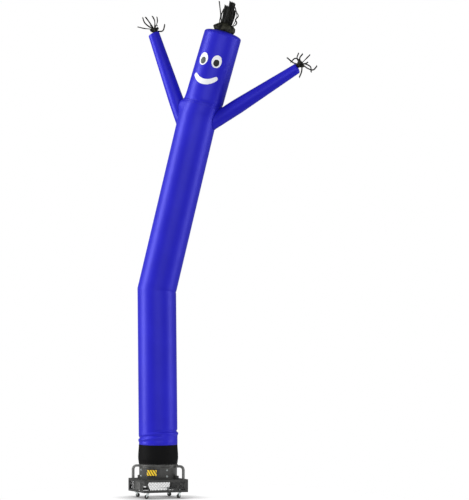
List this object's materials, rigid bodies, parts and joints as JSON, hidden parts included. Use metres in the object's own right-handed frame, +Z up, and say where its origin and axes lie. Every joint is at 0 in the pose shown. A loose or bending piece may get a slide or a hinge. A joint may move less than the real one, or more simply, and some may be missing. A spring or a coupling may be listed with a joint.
{
  "type": "inflatable air dancer on a blower",
  "caption": "Tall kinked tube man of blue cloth with raised arms, a smiling face and black streamers, strapped by a black sleeve to a round grey blower on a perforated base with casters.",
  "frame": {"origin": "on the floor, under the middle of the part's box; the drum's axis is at x -0.776, y 0", "axes": "+Z up; the face and the label look along -Y; the dancer leans and its right-hand arm reaches to +X"},
  "size_m": [2.3184, 0.7664, 5.8457],
  "materials": {
    "blue_nylon": "coated nylon, soft sheen",
    "black_nylon": "black nylon",
    "black_mesh": "sheer black mesh and streamers",
    "white_patch": "white nylon",
    "black_patch": "black nylon",
    "grey_steel": "dark grey powder coat",
    "black_steel": "black ribbed collar",
    "zinc": "zinc plated steel",
    "plate": "black plate",
    "tyre": "black rubber"
  },
  "bodies": {
    "root": {"body_tube": "blue_nylon", "head_tube": "blue_nylon", "arm_left": "blue_nylon", "arm_right": "blue_nylon", "cuff": "black_nylon", "hair": "black_mesh", "tassel_left": "black_mesh", "tassel_right": "black_mesh", "eye_left": "white_patch", "eye_right": "white_patch", "mouth": "white_patch", "pupil_left": "black_patch", "pupil_right": "black_patch", "drum": "grey_steel", "drum_ring": "grey_steel", "collar": "black_steel", "rim": "grey_steel", "deck": "grey_steel", "wall_a": "grey_steel", "wall_b": "grey_steel", "wall_c": "grey_steel", "wall_d": "grey_steel", "guide_plate": "grey_steel", "handle_left": "grey_steel", "handle_right": "grey_steel", "block_left": "grey_steel", "block_right": "grey_steel", "label": "plate", "rivet_1": "zinc", "rivet_2": "zinc", "bolt_1": "zinc", "bolt_2": "zinc", "bolt_3": "zinc", "bolt_4": "zinc", "bolt_5": "zinc", "bolt_6": "zinc", "bolt_7": "zinc", "bolt_8": "zinc", "caster_1_mount": "zinc", "caster_2_mount": "zinc", "caster_3_mount": "zinc", "caster_4_mount": "zinc"},
    "fork_1": {"caster_1_fork": "zinc"},
    "wheel_1": {"caster_1_wheel": "tyre"},
    "fork_2": {"caster_2_fork": "zinc"},
    "wheel_2": {"caster_2_wheel": "tyre"},
    "fork_3": {"caster_3_fork": "zinc"},
    "wheel_3": {"caster_3_wheel": "tyre"},
    "fork_4": {"caster_4_fork": "zinc"},
    "wheel_4": {"caster_4_wheel": "tyre"}
  },
  "joints": [
    {"name": "swivel_1", "type": "hinge", "parent": "root", "child": "fork_1", "pos_m": [-1.05389, 0.03412, 0.062], "axis": [0, 0, 1], "continuous": true},
    {"name": "roll_1", "type": "hinge", "parent": "fork_1", "child": "wheel_1", "pos_m": [-1.0365, 0.02947, 0.02462], "axis": [-0.2588, -0.9659, 0], "continuous": true},
    {"name": "swivel_2", "type": "hinge", "parent": "root", "child": "fork_2", "pos_m": [-0.8101, -0.27791, 0.062], "axis": [0, 0, 1], "continuous": true},
    {"name": "roll_2", "type": "hinge", "parent": "fork_2", "child": "wheel_2", "pos_m": [-0.82701, -0.28407, 0.02462], "axis": [-0.342, 0.9397, 0], "continuous": true},
    {"name": "swivel_3", "type": "hinge", "parent": "root", "child": "fork_3", "pos_m": [-0.49806, -0.03412, 0.062], "axis": [0, 0, 1], "continuous": true},
    {"name": "roll_3", "type": "hinge", "parent": "fork_3", "child": "wheel_3", "pos_m": [-0.50839, -0.04887, 0.02462], "axis": [-0.8192, 0.5736, 0], "continuous": true},
    {"name": "swivel_4", "type": "hinge", "parent": "root", "child": "fork_4", "pos_m": [-0.74185, 0.27791, 0.062], "axis": [0, 0, 1], "continuous": true},
    {"name": "roll_4", "type": "hinge", "parent": "fork_4", "child": "wheel_4", "pos_m": [-0.72385, 0.27791, 0.02462], "axis": [0, -1, 0], "continuous": true}
  ]
}
